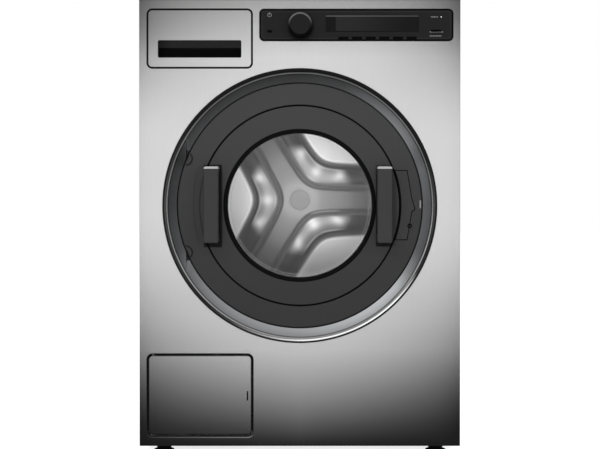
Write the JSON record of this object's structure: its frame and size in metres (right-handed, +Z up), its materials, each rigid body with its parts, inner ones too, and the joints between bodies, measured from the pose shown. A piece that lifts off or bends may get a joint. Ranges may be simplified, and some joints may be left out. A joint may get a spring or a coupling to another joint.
{
  "type": "washing machine",
  "caption": "Front-loading washing machine in brushed steel, with a round glass door, two grip bars, a detergent drawer, a dark control strip with knob and display, and a service flap.",
  "frame": {"origin": "middle of the footprint, on the floor", "axes": "+Z up, -Y towards the front, +X to the right seen from the front"},
  "size_m": [0.595, 0.63, 0.85],
  "materials": {
    "brushed_steel": "fine brushed stainless sheet",
    "bright_steel": "bright stainless steel",
    "zinc_sheet": "zinc-plated sheet",
    "dark_trim": "dark metallic paint on plastic",
    "dark_plastic": "dark grey satin plastic",
    "black_plastic": "black plastic",
    "rubber": "black rubber",
    "grey_rubber": "grey rubber",
    "door_glass": "clear glass",
    "display_glass": "dark display window",
    "white_plastic": "white plastic",
    "tub_plastic": "grey filled plastic",
    "concrete": "cast concrete",
    "cast_aluminium": "cast aluminium"
  },
  "bodies": {
    "cabinet": {"front_panel": "brushed_steel", "left_side_panel": "brushed_steel", "right_side_panel": "brushed_steel", "rear_panel": "zinc_sheet", "top_plate": "brushed_steel", "base_tray": "zinc_sheet", "door_surround": "dark_trim", "door_lock": "black_plastic", "door_hinge": "bright_steel", "door_seal": "grey_rubber", "drawer_housing": "white_plastic", "control_fascia": "black_plastic", "display_window": "display_glass", "drain_pump": "tub_plastic", "inlet_valve": "white_plastic", "damper_tube_left": "tub_plastic", "damper_tube_right": "tub_plastic"},
    "door": {"door_frame": "dark_plastic", "door_inner_ring": "dark_plastic", "glass_gasket": "rubber", "door_glass": "door_glass", "handle_left": "dark_plastic", "handle_right": "dark_plastic", "latch_plate": "dark_plastic", "latch_hook": "bright_steel"},
    "drawer": {"drawer_front": "brushed_steel", "drawer_grip": "black_plastic", "drawer_tray": "white_plastic"},
    "tub": {"tub_front": "tub_plastic", "tub_shell": "tub_plastic", "counterweight": "concrete", "drum_bearing": "bright_steel", "motor": "zinc_sheet", "drive_belt": "rubber", "damper_rod_left": "bright_steel", "damper_rod_right": "bright_steel", "spring_left": "bright_steel", "spring_right": "bright_steel"},
    "drum": {"drum": "bright_steel", "drum_shaft": "bright_steel", "drum_pulley": "cast_aluminium", "lifter_1": "white_plastic", "lifter_2": "white_plastic", "lifter_3": "white_plastic"},
    "motor_rotor": {"motor_pulley": "cast_aluminium"},
    "knob": {"program_knob": "black_plastic"},
    "flap": {"service_flap": "brushed_steel"},
    "filter": {"filter_cap": "tub_plastic"},
    "option_button_1_key": {"option_button_1": "black_plastic"},
    "option_button_2_key": {"option_button_2": "black_plastic"},
    "option_button_3_key": {"option_button_3": "black_plastic"},
    "option_button_4_key": {"option_button_4": "black_plastic"},
    "option_button_5_key": {"option_button_5": "black_plastic"},
    "option_button_6_key": {"option_button_6": "black_plastic"},
    "power_button_key": {"power_button": "black_plastic"},
    "start_button_key": {"start_button": "black_plastic"},
    "front_left_leg": {"foot_front_left": "rubber"},
    "front_right_leg": {"foot_front_right": "rubber"},
    "rear_left_leg": {"foot_rear_left": "rubber"},
    "rear_right_leg": {"foot_rear_right": "rubber"}
  },
  "joints": [
    {"name": "door_hinge", "type": "hinge", "parent": "cabinet", "child": "door", "pos_m": [-0.206, -0.2705, 0.4658], "axis": [0, 0, -1], "range_deg": [0, 90]},
    {"name": "drawer_slide", "type": "slide", "parent": "cabinet", "child": "drawer", "axis": [0, -1, 0], "range_m": [0, 0.19]},
    {"name": "tub_suspension", "type": "slide", "parent": "cabinet", "child": "tub", "axis": [0, 0, 1], "range_m": [-0.012, 0.012], "stiffness_N_per_m": 20000, "springref_m": 0.0212, "deforming": ["spring_left", "spring_right"]},
    {"name": "drum_spin", "type": "hinge", "parent": "tub", "child": "drum", "pos_m": [0, 0.155, 0.4658], "axis": [0, 1, 0], "continuous": true},
    {"name": "motor_spin", "type": "hinge", "parent": "tub", "child": "motor_rotor", "pos_m": [0.13, 0.253, 0.14], "axis": [0, 1, 0], "continuous": true},
    {"name": "program_turn", "type": "hinge", "parent": "cabinet", "child": "knob", "pos_m": [0.0006, -0.285, 0.8004], "axis": [0, 1, 0], "continuous": true},
    {"name": "flap_hinge", "type": "hinge", "parent": "cabinet", "child": "flap", "pos_m": [-0.2722, -0.2795, 0.1146], "axis": [0, 0, -1], "range_deg": [0, 100]},
    {"name": "filter_turn", "type": "hinge", "parent": "cabinet", "child": "filter", "pos_m": [-0.185, -0.257, 0.105], "axis": [0, -1, 0], "range_deg": [0, 120]},
    {"name": "option_button_1_press", "type": "slide", "parent": "cabinet", "child": "option_button_1_key", "axis": [0, 1, 0], "range_m": [0, 0.0015], "stiffness_N_per_m": 300, "springref_m": -0.0005},
    {"name": "option_button_2_press", "type": "slide", "parent": "cabinet", "child": "option_button_2_key", "axis": [0, 1, 0], "range_m": [0, 0.0015], "stiffness_N_per_m": 300, "springref_m": -0.0005},
    {"name": "option_button_3_press", "type": "slide", "parent": "cabinet", "child": "option_button_3_key", "axis": [0, 1, 0], "range_m": [0, 0.0015], "stiffness_N_per_m": 300, "springref_m": -0.0005},
    {"name": "option_button_4_press", "type": "slide", "parent": "cabinet", "child": "option_button_4_key", "axis": [0, 1, 0], "range_m": [0, 0.0015], "stiffness_N_per_m": 300, "springref_m": -0.0005},
    {"name": "option_button_5_press", "type": "slide", "parent": "cabinet", "child": "option_button_5_key", "axis": [0, 1, 0], "range_m": [0, 0.0015], "stiffness_N_per_m": 300, "springref_m": -0.0005},
    {"name": "option_button_6_press", "type": "slide", "parent": "cabinet", "child": "option_button_6_key", "axis": [0, 1, 0], "range_m": [0, 0.0015], "stiffness_N_per_m": 300, "springref_m": -0.0005},
    {"name": "power_button_press", "type": "slide", "parent": "cabinet", "child": "power_button_key", "axis": [0, 1, 0], "range_m": [0, 0.0015], "stiffness_N_per_m": 300, "springref_m": -0.0005},
    {"name": "start_button_press", "type": "slide", "parent": "cabinet", "child": "start_button_key", "axis": [0, 1, 0], "range_m": [0, 0.0015], "stiffness_N_per_m": 300, "springref_m": -0.0005},
    {"name": "front_left_level", "type": "slide", "parent": "cabinet", "child": "front_left_leg", "axis": [0, 0, -1], "range_m": [0, 0.012]},
    {"name": "front_right_level", "type": "slide", "parent": "cabinet", "child": "front_right_leg", "axis": [0, 0, -1], "range_m": [0, 0.012]},
    {"name": "rear_left_level", "type": "slide", "parent": "cabinet", "child": "rear_left_leg", "axis": [0, 0, -1], "range_m": [0, 0.012]},
    {"name": "rear_right_level", "type": "slide", "parent": "cabinet", "child": "rear_right_leg", "axis": [0, 0, -1], "range_m": [0, 0.012]}
  ],
  "couplings": [
    {"joint": "motor_spin", "follows": "drum_spin", "ratio": 11.539}
  ]
}
